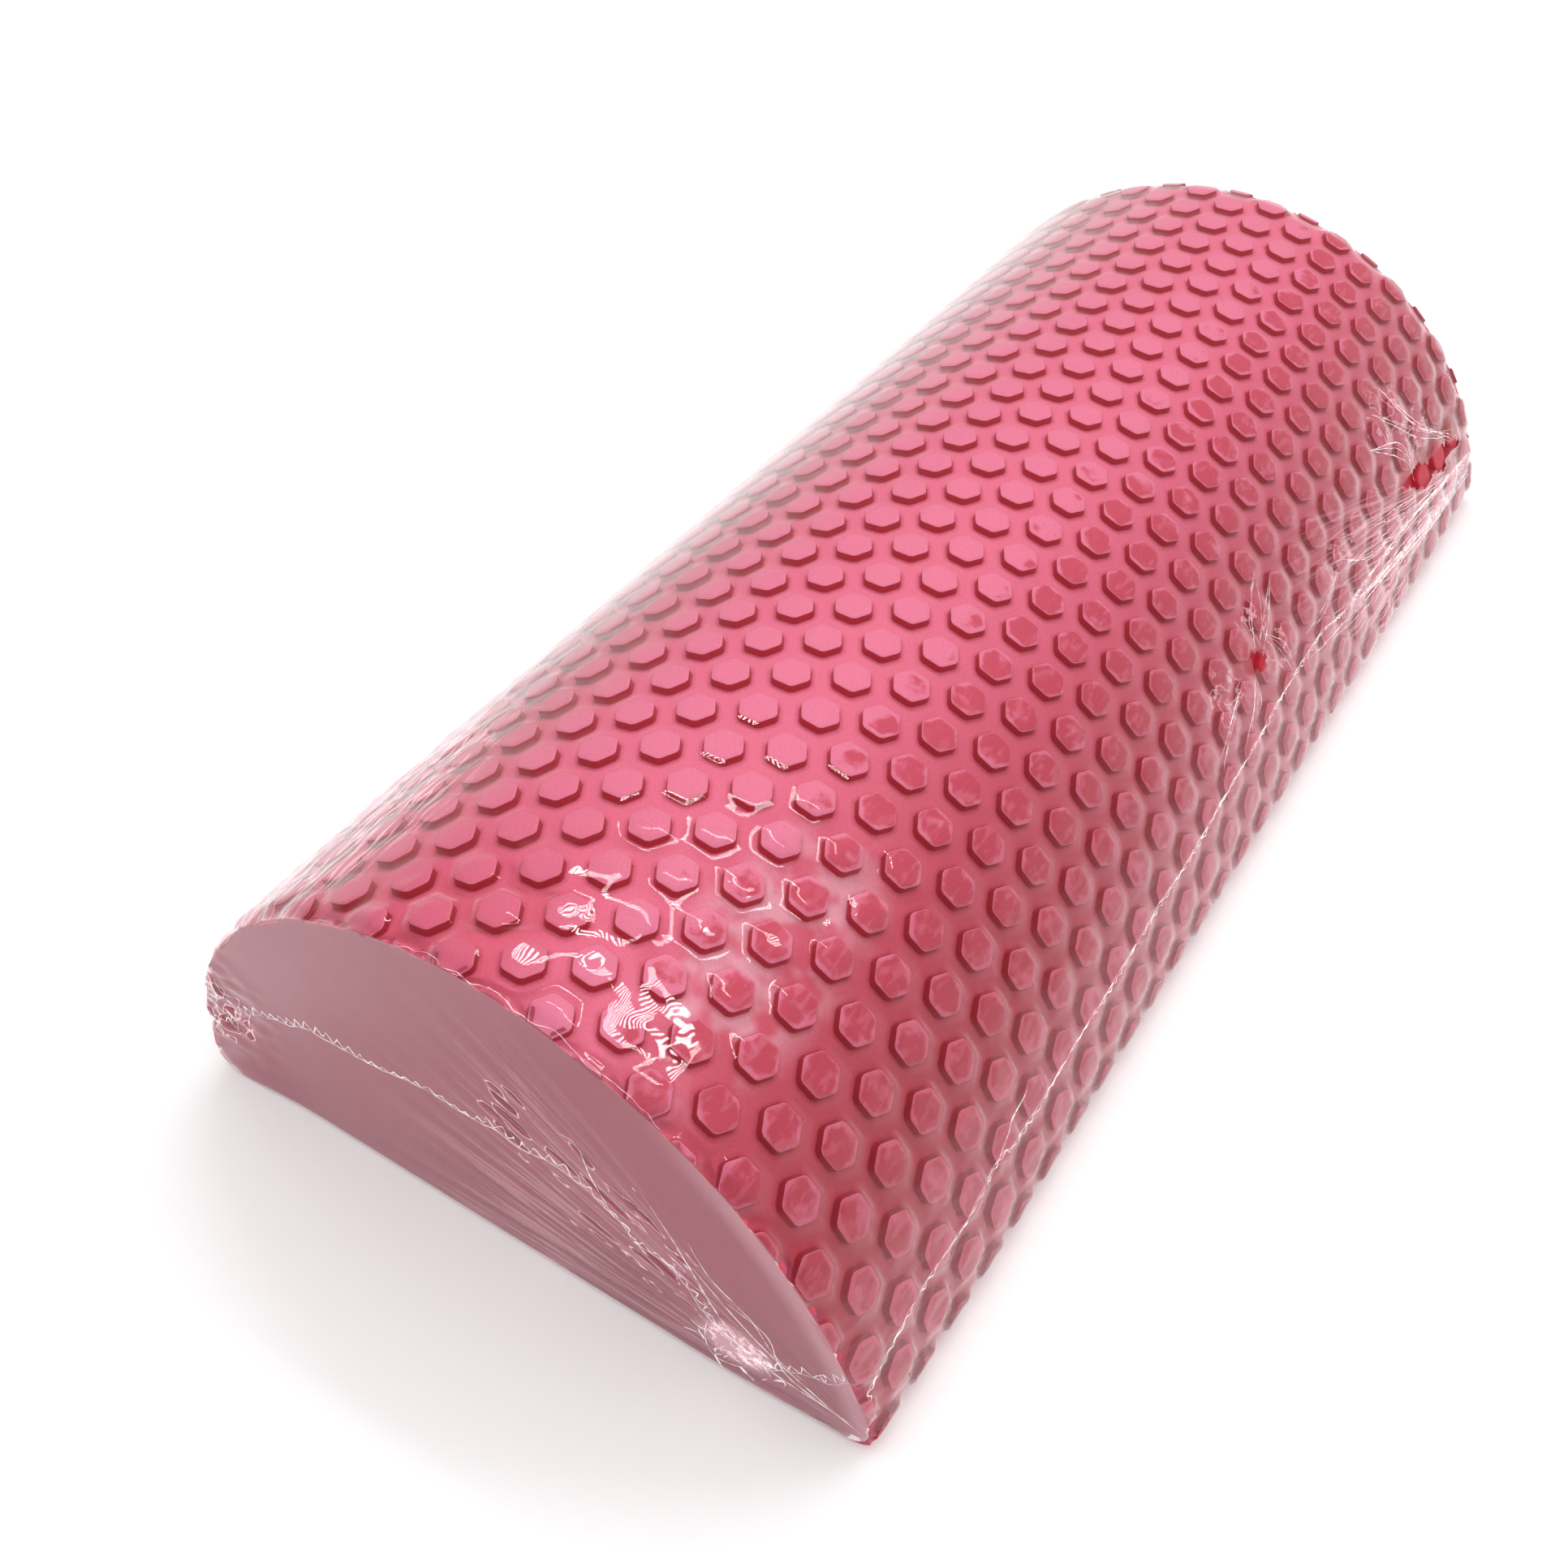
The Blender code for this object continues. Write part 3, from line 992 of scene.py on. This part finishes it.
DRY_TOP = (0.86, 0.25, 0.385, 1)
WET_TOP = (0.70, 0.095, 0.16, 1)
VALLEY = (0.92, 0.215, 0.345, 1)
# Darker valley colour toward the front right: painted shade.
VALLEY_SHADED = (0.76, 0.12, 0.19, 1)
# Pale swirls in the valleys: painted sheen of film lifting off the foam.
MILKY_SHEEN = (0.95, 0.50, 0.60, 1)
# The right side darker and less pale: partly where the film clings, partly painted shade.
CLINGING_AND_SHADE = (0.80, 0.28, 0.34, 1)
SHADE = (0.89, 0.62, 0.66, 1)
# Walls of the pads: a darker copy of the foam's colour, painted shade.
SHADED_WALL = (0.50, 0.022, 0.055, 1)
# Pale line along the tops' edges: a painted highlight.
EDGE_HIGHLIGHT = (0.98, 0.40, 0.52, 1)
BARE = (0.55, 0.02, 0.045, 1)
SAWN = (0.56, 0.08, 0.15, 1)
SAWN_TOUCHED = (0.33, 0.01, 0.05, 1)
SHEEN = (1.0, 0.80, 0.84, 1)
SPECK = (0.10, 0.04, 0.04, 1)
# White of the film's haze: partly the film's own whitening, partly painted reflection.
HAZE_AND_REFLECTION = (1.0, 0.70, 0.76, 1)
# The haze also glows: painted light.
HAZE_PAINTED_GLOW = 0.40
LEAF_SPREAD = 20
LEAF_RUN = 10 * MM
LEAF_SIZE = 0.42
BLOT_STEP = 5.5 * MM
BLOT_SIZE = 0.46
BLOT_WOBBLE = 0.5


def foam_finish(tree, place, color, roughness=0.6):
    grain = tree.noise(place, 0.4 * MM, 2.0, 0.7)
    pores = tree.noise(place, 1.5 * MM, 2.0)
    speckle = tree.between(grain, 0.3, 0.7, 0.95, 1.05)
    shade = tree.add("ShaderNodeCombineColor", Red=speckle, Green=speckle, Blue=speckle)
    color = tree.mix(1.0, color, shade.outputs[0], "MULTIPLY")
    cells = tree.add("ShaderNodeTexVoronoi", Vector=place, Scale=1 / (24 * MM))
    color = tree.mix(tree.between(cells.outputs["Distance"], 0.010, 0.016, 0.9, 0.0), color, SPECK)
    height = tree.math("ADD", tree.product(grain, 0.6), tree.product(pores, 0.4))
    bump = tree.add("ShaderNodeBump", Strength=0.3, Distance=0.1 * MM, Height=height)
    shader = tree.add("ShaderNodeBsdfPrincipled", Base_Color=color, Normal=bump)
    shader.inputs["Roughness"].default_value = roughness
    shader.inputs["Specular IOR Level"].default_value = 0.3
    shader.inputs["Sheen Weight"].default_value = 0.2
    shader.inputs["Sheen Roughness"].default_value = 0.4
    shader.inputs["Sheen Tint"].default_value = SHEEN
    return tree.finish(shader.outputs[0])


def opening_mask(tree, u, v, ring):
    """1 well inside an opening of the film, by its middle and reach."""
    us, vs = [p[0] for p in ring], [p[1] for p in ring]
    middle = (min(us) + max(us)) / 2, (min(vs) + max(vs)) / 2
    reach = (max(us) - min(us)) / 2, (max(vs) - min(vs)) / 2
    du = tree.math("DIVIDE", tree.math("SUBTRACT", u, middle[0]), reach[0])
    dv = tree.math("DIVIDE", tree.math("SUBTRACT", v, middle[1]), reach[1])
    away = tree.math("SQRT", tree.math("ADD", tree.product(du, du), tree.product(dv, dv)))
    return tree.between(away, 1.0, 1.5, 1.0, 0.0)


def end_patches(tree, place):
    """Leaf-shaped spots where the film sticks to the front end, and their outlines."""
    parts = tree.add("ShaderNodeSeparateXYZ", Vector=place)
    x, z = parts.outputs["X"], parts.outputs["Z"]
    rays, _, _ = tree.fan(x, z, [c * MM for c in LOW_CORNER], LEAF_SPREAD, LEAF_RUN)
    leaf = tree.line(tree.cells(rays, 1.0), 0.0, LEAF_SIZE, 0.75, 0.53)
    along = tree.math("SUBTRACT", tree.product(x, 0.894), tree.product(z, 0.447))
    across = tree.math("ADD", tree.product(x, 0.447), tree.product(z, 0.894))
    leafy = tree.oval(along, across, (6 * MM, 36 * MM), (42 * MM, 17 * MM))
    blot = tree.line(tree.cells(place, BLOT_STEP), 0.0, BLOT_SIZE, 0.75, 0.53)
    left = tree.oval(x, z, (-66 * MM, 21 * MM), (15 * MM, 16 * MM))
    level = tree.math(
        "MAXIMUM",
        tree.math("ADD", leaf, tree.product(tree.math("SUBTRACT", leafy, 1.0), 0.3)),
        tree.math("ADD", blot, tree.product(tree.math("SUBTRACT", left, 1.0), 0.3)),
    )
    off_edge = tree.math("ABSOLUTE", tree.math("SUBTRACT", level, 0.53))
    return tree.between(level, 0.52, 0.54), tree.between(off_edge, 0.0, 0.018, 1.0, 0.0)


def foam_material():
    tree = Tree("rose_foam")
    place = tree.add("ShaderNodeTexCoord").outputs["Object"]
    parts = tree.add("ShaderNodeSeparateXYZ", Vector=place)
    x, z = parts.outputs["X"], parts.outputs["Z"]
    depth = tree.attribute("depth")
    sheet = tree.attribute("sheet", "Vector")
    flat = tree.add("ShaderNodeSeparateXYZ", Vector=sheet)
    u, v = flat.outputs["X"], flat.outputs["Y"]
    on_top = tree.between(depth, 0.03 * MM, 0.2 * MM, 1.0, 0.0)
    in_valley = tree.between(depth, 1.42 * MM, 1.58 * MM)
    blotch = tree.noise(sheet, 26 * MM, 3.0)
    blob = tree.noise(sheet, 4.5 * MM, 3.0)
    wavering = tree.math("ADD", u, tree.product(blotch, 26 * MM))
    dry = tree.math("ADD", tree.between(wavering, 20 * MM, 52 * MM, 1.0, 0.0), 0.0)
    dry = tree.math("ADD", dry, tree.between(u, 50 * MM, 90 * MM, 0.0, 0.20))
    away = tree.attribute("away")
    rim = tree.between(away, -1.1 * MM, -0.3 * MM)
    dry = tree.math("ADD", tree.product(dry, 1.3), tree.product(tree.math("SUBTRACT", blob, 0.5), 2.2))
    dry = tree.math("ADD", dry, tree.product(rim, 0.35))
    top = tree.mix(tree.between(dry, 0.15, 0.6), WET_TOP, DRY_TOP)
    crinkle = tree.noise(tree.stretched(u, v, 1.6 * MM, 5 * MM), 1.0)
    # Paler streaks on the tops to the right, in the highlight colour: painted highlights of crinkled film.
    light = tree.product(tree.between(crinkle, 0.50, 0.64), tree.between(u, 28 * MM, 46 * MM, 0.0, 0.25))
    top = tree.mix(light, top, EDGE_HIGHLIGHT)
    dark = tree.product(tree.between(crinkle, 0.40, 0.50, 1.0, 0.0), tree.between(u, -58 * MM, -32 * MM, 0.9, 0.0))
    top = tree.mix(dark, top, WET_TOP)
    # Valleys darker toward the front right: painted shade.
    front_right_shade = tree.product(tree.between(u, 12 * MM, 50 * MM), tree.between(v, -110 * MM, 20 * MM, 1.0, 0.35))
    valley = tree.mix(front_right_shade, VALLEY, VALLEY_SHADED)
    # Pale swirls in the valleys of the loose front zone: painted sheen of the lifted film.
    milky_sheen = tree.product(
        tree.between(tree.noise(sheet, 9 * MM, 2.0), 0.38, 0.58, 0.0, 0.85),
        tree.oval(u, v, (36 * MM, -116 * MM), (17 * MM, 38 * MM)),
    )
    valley = tree.mix(milky_sheen, valley, MILKY_SHEEN)
    # Painted shadow at the foot of each wall, in the shaded wall colour.
    valley = tree.mix(tree.between(away, 0.3 * MM, 1.3 * MM, 0.3, 0.0), valley, SHADED_WALL)
    # The pads' walls take the shaded wall colour: painted shade.
    color = tree.mix(in_valley, SHADED_WALL, valley)
    color = tree.mix(on_top, color, top)
    # A pale ring where each top turns into its wall: painted highlight.
    edge = tree.product(
        tree.between(depth, 0.01 * MM, 0.06 * MM),
        tree.between(depth, 0.10 * MM, 0.25 * MM, 1.0, 0.0),
    )
    color = tree.mix(tree.product(edge, 0.65), color, EDGE_HIGHLIGHT)
    # Darker and less pale on the right: partly where the film clings, partly painted shade.
    clinging_and_shade = tree.product(
        tree.between(u, 34 * MM, 75 * MM), tree.between(v, -HALF_LENGTH, 20 * MM, 0.60, 0.50)
    )
    color = tree.mix(clinging_and_shade, color, CLINGING_AND_SHADE, "MULTIPLY")
    left = tree.product(
        tree.between(u, -38 * MM, -12 * MM, 1.0, 0.0),
        tree.between(u, -66 * MM, -46 * MM, 0.0, 1.0),
        tree.between(v, -90 * MM, 90 * MM, 1.0, 0.45),
    )
    front = tree.product(
        tree.between(v, -HALF_LENGTH, -90 * MM, 1.0, 0.0), tree.between(u, 2 * MM, 20 * MM, 1.0, 0.0)
    )
    color = tree.mix(tree.most(left, front), color, SHADE, "MULTIPLY")
    for ring in OPENINGS:
        color = tree.mix(opening_mask(tree, u, v, ring), color, BARE)
    patch, _ = end_patches(tree, place)
    rays, angle, reach = tree.fan(x, z, [c * MM for c in LOW_CORNER], 22, 60 * MM)
    streak = tree.noise(rays, 1.0)
    low = tree.product(tree.between(z, 12 * MM, 30 * MM, 1.0, 0.0), tree.between(reach, 40 * MM, 110 * MM, 1.0, 0.0))
    low = tree.product(low, tree.between(streak, 0.42, 0.60, 0.12, 0.50))
    sawn = tree.mix(tree.math("MAXIMUM", patch, low), SAWN, SAWN_TOUCHED)
    color = tree.mix(tree.attribute("sawn"), color, sawn)
    return foam_finish(tree, place, color)


def front_haze_and_reflection(tree, place):
    """Whitening of the film on the front end, partly painted reflection: streaks, a lacy gather, crumples and a
    painted highlight band just inside the rim on the right.
    """
    parts = tree.add("ShaderNodeSeparateXYZ", Vector=place)
    x, z = parts.outputs["X"], parts.outputs["Z"]
    corner = [c * MM for c in LOW_CORNER]
    rays, angle, reach = tree.fan(x, z, corner, 30, 60 * MM)
    streak = tree.noise(rays, 1.0)
    lines = tree.between(tree.math("ABSOLUTE", tree.math("SUBTRACT", streak, 0.5)), 0.0, 0.05, 1.0, 0.0)
    lines = tree.product(lines, tree.between(angle, 0.6, 0.85, 0.16, 0.0))
    lines = tree.product(lines, tree.between(reach, 60 * MM, 100 * MM, 1.0, 0.0))
    web = tree.web(place, 3.2 * MM, 0.05)
    lace = tree.oval(x, z, (48.5 * MM, 10.5 * MM), (8.5 * MM, 6.5 * MM))
    lace = tree.product(lace, tree.math("ADD", tree.product(web, 0.45), 0.32))
    _, outline_of_patch = end_patches(tree, place)
    # A pale band just inside the rim on the right: painted highlight.
    height = tree.math("SUBTRACT", z, AXIS_HEIGHT)
    radius = tree.math("SQRT", tree.math("ADD", tree.product(x, x), tree.product(height, height)))
    band = tree.product(
        tree.between(radius, 68 * MM, 73 * MM), tree.between(x, 30 * MM, 55 * MM, 0.0, 0.16)
    )
    return tree.most(lines, lace, tree.product(outline_of_patch, 0.6), band)


def side_haze_and_reflection(tree, u, v):
    """Whitening over the curved side, partly painted reflection: a fan from the far corner, creases, webs and fine
    hatching, paler near the left silhouette.
    """
    corner = on_sheet(*BACK_CORNER)
    rays, angle, reach = tree.fan(v, u, (corner[1], corner[0]), 36, 60 * MM)
    streak = tree.noise(rays, 1.0)
    fan = tree.between(tree.math("ABSOLUTE", tree.math("SUBTRACT", streak, 0.5)), 0.0, 0.05, 0.40, 0.0)
    fan = tree.product(fan, tree.between(angle, -0.42, -0.2), tree.between(angle, 0.12, 0.3, 1.0, 0.0))
    fan = tree.product(fan, tree.between(reach, 50 * MM, 120 * MM, 1.0, 0.0))
    crease = tree.noise(tree.stretched(u, v, 2.2 * MM, 20 * MM), 1.0)
    creases = tree.product(
        tree.between(tree.math("ABSOLUTE", tree.math("SUBTRACT", crease, 0.5)), 0.0, 0.05, 0.55, 0.0),
        tree.oval(u, v, (-52 * MM, -122 * MM), (28 * MM, 46 * MM)),
    )
    flat = tree.add("ShaderNodeCombineXYZ", X=u, Y=v)
    web = tree.web(flat, 4.5 * MM, 0.035)
    places = [
        tree.oval(u, v, on_sheet(turn, along), (across * MM, back * MM))
        for turn, along, across, back in SIDE_WEBS
    ]
    webs = tree.product(web, tree.most(*places), 0.30)
    hatch = tree.noise(tree.stretched(u, v, 1.1 * MM, 11 * MM), 1.0)
    # Paler hatching near the left silhouette: painted reflection of the bright surroundings at a glancing angle.
    left_painted_reflection = tree.product(
        tree.between(u, -66 * MM, -44 * MM, 0.44, 0.0), tree.between(u, -112 * MM, -62 * MM, 0.15, 1.0)
    )
    sides = tree.math("ADD", left_painted_reflection, tree.between(u, 72 * MM, 92 * MM, 0.0, 0.06))
    hatch = tree.product(tree.between(hatch, 0.42, 0.62, 0.50, 1.0), sides)
    return tree.most(fan, creases, webs, hatch)


def film_material():
    """Clear where seen straight on, mirroring where seen edge on, and hazy in places; the haze is partly the film's
    own whitening, partly painted reflection, and glows with painted light.
    """
    tree = Tree("clear_film")
    place = tree.add("ShaderNodeTexCoord").outputs["Object"]
    sheet = tree.add("ShaderNodeSeparateXYZ", Vector=tree.attribute("sheet", "Vector"))
    on_end = tree.attribute("end")
    on_side = tree.math("SUBTRACT", 1.0, on_end)
    amount = tree.math(
        "ADD",
        tree.product(on_end, front_haze_and_reflection(tree, place)),
        tree.product(on_side, side_haze_and_reflection(tree, sheet.outputs["X"], sheet.outputs["Y"])),
    )
    fine = tree.noise(place, 6 * MM, 3.0)
    bump = tree.add("ShaderNodeBump", Strength=0.2, Distance=0.02 * MM, Height=fine)
    fresnel = tree.add("ShaderNodeFresnel", IOR=1.30, Normal=bump).outputs[0]
    patch, _ = end_patches(tree, place)
    faces = tree.math("SUBTRACT", 2.0, tree.product(patch, on_end))
    both = tree.math("DIVIDE", tree.product(fresnel, faces), tree.math("ADD", fresnel, 1.0))
    clear = tree.add("ShaderNodeBsdfTransparent")
    mirror = tree.add("ShaderNodeBsdfPrincipled", Normal=bump)
    mirror.inputs["Base Color"].default_value = (1, 1, 1, 1)
    mirror.inputs["Metallic"].default_value = 1.0
    mirror.inputs["Roughness"].default_value = 0.02
    shine = tree.add("ShaderNodeMixShader", Fac=both)
    tree.links.new(clear.outputs[0], shine.inputs[1])
    tree.links.new(mirror.outputs[0], shine.inputs[2])
    # Haze: diffuse white, partly the film's own whitening and partly painted reflection.
    haze_and_reflection_shader = tree.add("ShaderNodeBsdfPrincipled", Normal=bump)
    haze_and_reflection_shader.inputs["Base Color"].default_value = HAZE_AND_REFLECTION
    haze_and_reflection_shader.inputs["Roughness"].default_value = 0.4
    # The haze glows a little: painted light.
    haze_and_reflection_shader.inputs["Emission Color"].default_value = HAZE_AND_REFLECTION
    haze_and_reflection_shader.inputs["Emission Strength"].default_value = HAZE_PAINTED_GLOW
    whole = tree.add("ShaderNodeMixShader", Fac=amount)
    tree.links.new(shine.outputs[0], whole.inputs[1])
    tree.links.new(haze_and_reflection_shader.outputs[0], whole.inputs[2])
    return tree.finish(whole.outputs[0])


def fold_material():
    tree = Tree("creased_film")
    place = tree.add("ShaderNodeTexCoord").outputs["Object"]
    ragged = tree.noise(place, 1.6 * MM, 2.0)
    shader = tree.add("ShaderNodeBsdfPrincipled", Alpha=tree.between(ragged, 0.3, 0.7, 0.1, 0.7))
    # The weld and folds glow a little: painted light. The folds' white also stands in for the shine of creased film,
    # a painted highlight.
    shader.inputs["Base Color"].default_value = (0.95, 0.93, 0.93, 1)
    shader.inputs["Roughness"].default_value = 0.3
    shader.inputs["Emission Color"].default_value = (1, 0.97, 0.97, 1)
    shader.inputs["Emission Strength"].default_value = 0.3
    return tree.finish(shader.outputs[0])


FLOOR_GLOW = 0.14


def floor_material():
    tree = Tree("studio_floor")
    shader = tree.add("ShaderNodeBsdfPrincipled")
    shader.inputs["Base Color"].default_value = (0.95, 0.95, 0.95, 1)
    shader.inputs["Roughness"].default_value = 1.0
    shader.inputs["Specular IOR Level"].default_value = 0.0
    shader.inputs["Emission Color"].default_value = (1, 1, 1, 1)
    shader.inputs["Emission Strength"].default_value = FLOOR_GLOW
    return tree.finish(shader.outputs[0])


def add_floor():
    bpy.ops.mesh.primitive_plane_add(size=8, location=(0, 0, CAD_BOX[0][2]))
    floor = bpy.context.object
    floor.name = "studio_floor"
    floor.data.materials.append(floor_material())


# Light: an even pale room with a glow overhead, which the film mirrors as dimmer above
# and bright low down, and a long row of small bright slats.
ROOM_LEVEL = 0.57
GLOW_LEVEL = 1.66
GLOW_WAY = Vector((0.15, 0.25, 0.95)).normalized()
MIRROR_LEVEL = 0.35
MIRROR_LOW_LEVEL = 1.2
SLAT_WAY = Vector((0.12, 0.48, 0.87)).normalized()
SLAT_DISTANCE = 1.2
SLAT_MIDDLE = Vector((-0.12, -0.12, 0.07)) + SLAT_WAY * SLAT_DISTANCE
SLAT_COUNT = 34
SLAT_PITCH = 0.032
SLAT_WIDTH = 0.014
SLAT_HEIGHT = 0.085
SLAT_POWER = 0.09


def add_world():
    world = bpy.data.worlds.new("studio")
    bpy.context.scene.world = world
    world.use_nodes = True
    nodes = world.node_tree.nodes
    links = world.node_tree.links
    nodes.clear()
    way = nodes.new("ShaderNodeTexCoord").outputs["Generated"]
    parts = nodes.new("ShaderNodeSeparateXYZ")
    links.new(way, parts.inputs[0])
    toward = nodes.new("ShaderNodeVectorMath")
    toward.operation = "DOT_PRODUCT"
    toward.inputs[1].default_value = GLOW_WAY
    links.new(way, toward.inputs[0])

    def level(source, low, high, at_low, at_high):
        node = nodes.new("ShaderNodeMapRange")
        node.interpolation_type = "SMOOTHSTEP"
        for socket, value in zip(list(node.inputs)[1:5], (low, high, at_low, at_high)):
            socket.default_value = value
        links.new(source, node.inputs[0])
        return node.outputs[0]

    strength = nodes.new("ShaderNodeMix")
    links.new(nodes.new("ShaderNodeLightPath").outputs["Is Glossy Ray"], strength.inputs[0])
    lit = level(toward.outputs["Value"], 0.2, 1.0, ROOM_LEVEL, GLOW_LEVEL)
    mirrored = level(parts.outputs["Z"], 0.10, 0.55, MIRROR_LOW_LEVEL, MIRROR_LEVEL)
    links.new(lit, strength.inputs[2])
    links.new(mirrored, strength.inputs[3])
    sky = nodes.new("ShaderNodeBackground")
    links.new(strength.outputs[0], sky.inputs["Strength"])
    out = nodes.new("ShaderNodeOutputWorld")
    links.new(sky.outputs[0], out.inputs["Surface"])


def add_lamps():
    for n in range(SLAT_COUNT):
        data = bpy.data.lights.new(f"slat_{n}", "AREA")
        data.shape = "RECTANGLE"
        data.size = SLAT_WIDTH
        data.size_y = SLAT_HEIGHT
        data.energy = SLAT_POWER
        lamp = link(bpy.data.objects.new(data.name, data))
        along = (n - (SLAT_COUNT - 1) / 2) * SLAT_PITCH
        lamp.location = SLAT_MIDDLE + Vector((along, 0, 0))
        lamp.rotation_euler = SLAT_WAY.to_track_quat("Z", "Y").to_euler()


def add_camera():
    data = bpy.data.cameras.new("camera")
    data.lens = CAMERA_LENS
    data.sensor_width = 36
    data.shift_x, data.shift_y = CAMERA_SHIFT
    data.clip_start = 0.01
    camera = link(bpy.data.objects.new("camera", data))
    camera.location = CAMERA_PLACE
    camera.rotation_euler = [math.radians(angle) for angle in CAMERA_TURN]
    bpy.context.scene.camera = camera


foam = foam_piece()
foam.data.materials.append(foam_material())
film = film_piece()
film.data.materials.append(film_material())
creased = fold_material()
weld = weld_piece(creased)
folds = folds_piece(creased)
for piece in (weld, folds):
    piece.visible_shadow = False

for piece in (foam, film, weld, folds):
    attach(piece, "root")
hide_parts("foam_body")
for piece in (film, weld, folds):
    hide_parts("shrink_film")

add_floor()
add_world()
add_lamps()
add_camera()
bpy.context.scene.view_settings.view_transform = "Standard"
